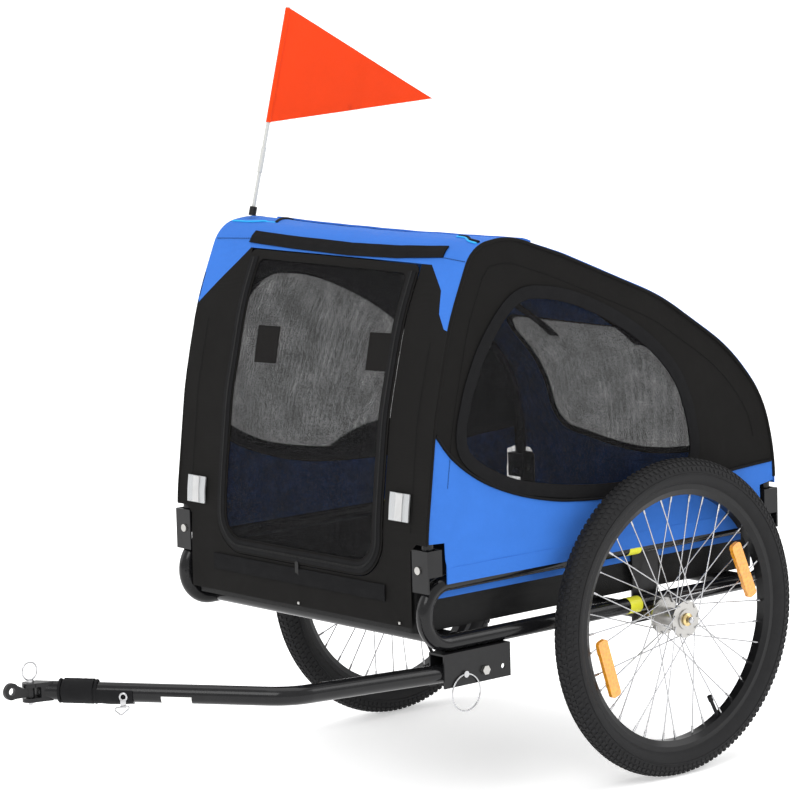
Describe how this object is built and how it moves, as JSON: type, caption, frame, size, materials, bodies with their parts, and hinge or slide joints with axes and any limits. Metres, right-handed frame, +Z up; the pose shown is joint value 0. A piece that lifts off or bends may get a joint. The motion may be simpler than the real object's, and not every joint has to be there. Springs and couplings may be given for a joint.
{
  "type": "bicycle trailer",
  "caption": "Two-wheeled bicycle trailer with a folding fabric cabin, mesh windows, zipped front door, swinging drawbar and safety flag.",
  "frame": {"origin": "on the ground, at the middle of the overall length and width", "axes": "+Z up, -Y the towing direction, +X the trailer's left side"},
  "size_m": [0.7484, 1.3174, 1.2001],
  "materials": {
    "black_tube": "gloss powder coat",
    "black_plate": "satin powder coat",
    "zinc_steel": "bright zinc",
    "chrome_steel": "polished",
    "black_rim": "black anodised",
    "tyre_rubber": "matt with tread",
    "amber_lens": "prismatic",
    "yellow_band": "gloss film",
    "black_fabric": "woven polyester",
    "coated_fabric": "coated, glossy",
    "blue_fabric": "woven polyester",
    "black_mesh": "open mesh",
    "webbing": "woven webbing",
    "flag_fabric": "thin vinyl",
    "fibreglass": "gloss",
    "moulded_black": "moulded",
    "floor_panel": "textured"
  },
  "bodies": {
    "chassis": {"left_base_loop": "black_tube", "right_base_loop": "black_tube", "front_cross_tube": "black_tube", "rear_cross_tube": "black_tube", "axle_beam": "black_tube", "left_axle_plate": "black_plate", "right_axle_plate": "black_plate", "left_stub_axle": "zinc_steel", "right_stub_axle": "zinc_steel", "corner_brackets": "black_plate", "hinge_rivets": "zinc_steel", "drawbar_channel": "black_plate", "pivot_bolt": "zinc_steel", "rail_bands": "yellow_band", "tub": "coated_fabric", "floor_board": "floor_panel", "front_panel": "black_fabric", "roof_cover": "blue_fabric", "rear_panel": "blue_fabric", "rear_window_mesh": "black_mesh", "side_skirts": "blue_fabric", "flag_socket": "moulded_black"},
    "drawbar": {"drawbar_tube": "black_tube", "nose_fork": "black_plate", "safety_strap": "webbing"},
    "ring_pin": {"ring_pin": "chrome_steel"},
    "hitch": {"hitch_plate": "black_plate"},
    "hitch_pin": {"hitch_pin": "chrome_steel"},
    "front_door": {"front_door": "black_fabric", "front_door_mesh": "black_mesh"},
    "zipper_pull": {"zipper_pull": "zinc_steel"},
    "flag": {"flag_pole": "fibreglass", "flag_cloth": "flag_fabric"},
    "left_wheel": {"left_tyre": "tyre_rubber", "left_rim": "black_rim", "left_spokes": "chrome_steel", "left_hub": "zinc_steel", "left_bearings": "chrome_steel", "left_reflectors": "amber_lens"},
    "left_button": {"left_release_button": "chrome_steel"},
    "left_frame": {"left_hoop": "black_tube", "left_side_upper": "black_fabric", "left_side_lower": "blue_fabric", "left_window_mesh": "black_mesh"},
    "left_bar": {"left_cross_bar": "black_tube"},
    "right_wheel": {"right_tyre": "tyre_rubber", "right_rim": "black_rim", "right_spokes": "chrome_steel", "right_hub": "zinc_steel", "right_bearings": "chrome_steel", "right_reflectors": "amber_lens"},
    "right_button": {"right_release_button": "chrome_steel"},
    "right_frame": {"right_hoop": "black_tube", "right_side_upper": "black_fabric", "right_side_lower": "blue_fabric", "right_window_mesh": "black_mesh"},
    "right_bar": {"right_cross_bar": "black_tube"}
  },
  "joints": [
    {"name": "left_wheel_spin", "type": "hinge", "parent": "chassis", "child": "left_wheel", "pos_m": [0.336, 0.37875, 0.25], "axis": [1, 0, 0], "continuous": true},
    {"name": "left_button_push", "type": "slide", "parent": "chassis", "child": "left_button", "axis": [-1, 0, 0], "range_m": [0, 0.004], "stiffness_N_per_m": 400},
    {"name": "left_frame_fold", "type": "hinge", "parent": "chassis", "child": "left_frame", "pos_m": [0.28, 0.37875, 0.386], "axis": [0, -1, 0], "range_deg": [0, 90]},
    {"name": "left_bar_fold", "type": "hinge", "parent": "left_frame", "child": "left_bar", "pos_m": [0.262, 0.05175, 0.85], "axis": [0, -1, 0], "range_deg": [0, 90]},
    {"name": "right_wheel_spin", "type": "hinge", "parent": "chassis", "child": "right_wheel", "pos_m": [-0.336, 0.37875, 0.25], "axis": [1, 0, 0], "continuous": true},
    {"name": "right_button_push", "type": "slide", "parent": "chassis", "child": "right_button", "axis": [1, 0, 0], "range_m": [0, 0.004], "stiffness_N_per_m": 400},
    {"name": "right_frame_fold", "type": "hinge", "parent": "chassis", "child": "right_frame", "pos_m": [-0.28, 0.37875, 0.386], "axis": [0, 1, 0], "range_deg": [0, 76]},
    {"name": "right_bar_fold", "type": "hinge", "parent": "right_frame", "child": "right_bar", "pos_m": [-0.262, 0.05175, 0.85], "axis": [0, 1, 0], "range_deg": [0, 90]},
    {"name": "drawbar_fold", "type": "hinge", "parent": "chassis", "child": "drawbar", "pos_m": [0.2845, 0.00775, 0.222], "axis": [1, 0, 0], "range_deg": [0, 180]},
    {"name": "ring_pin_pull", "type": "slide", "parent": "chassis", "child": "ring_pin", "axis": [1, 0, 0], "range_m": [0, 0.045]},
    {"name": "hitch_yaw", "type": "hinge", "parent": "drawbar", "child": "hitch", "pos_m": [0, -0.61225, 0.246], "axis": [0, 0, 1], "range_deg": [-60, 60]},
    {"name": "hitch_pin_pull", "type": "slide", "parent": "drawbar", "child": "hitch_pin", "axis": [0, 0, 1], "range_m": [0, 0.036]},
    {"name": "front_door_lift", "type": "hinge", "parent": "chassis", "child": "front_door", "pos_m": [0, -0.00895, 0.828], "axis": [-1, 0, 0], "range_deg": [0, 120]},
    {"name": "zipper_pull_swing", "type": "hinge", "parent": "front_door", "child": "zipper_pull", "pos_m": [0, -0.10275, 0.365], "axis": [-1, 0, 0], "range_deg": [0, 150]},
    {"name": "flag_slide", "type": "slide", "parent": "chassis", "child": "flag", "axis": [0, 0.2588, 0.9659], "range_m": [0, 0.12]}
  ],
  "couplings": [
    {"joint": "left_bar_fold", "follows": "left_frame_fold", "ratio": 1},
    {"joint": "right_bar_fold", "follows": "right_frame_fold", "ratio": 1.1842}
  ]
}
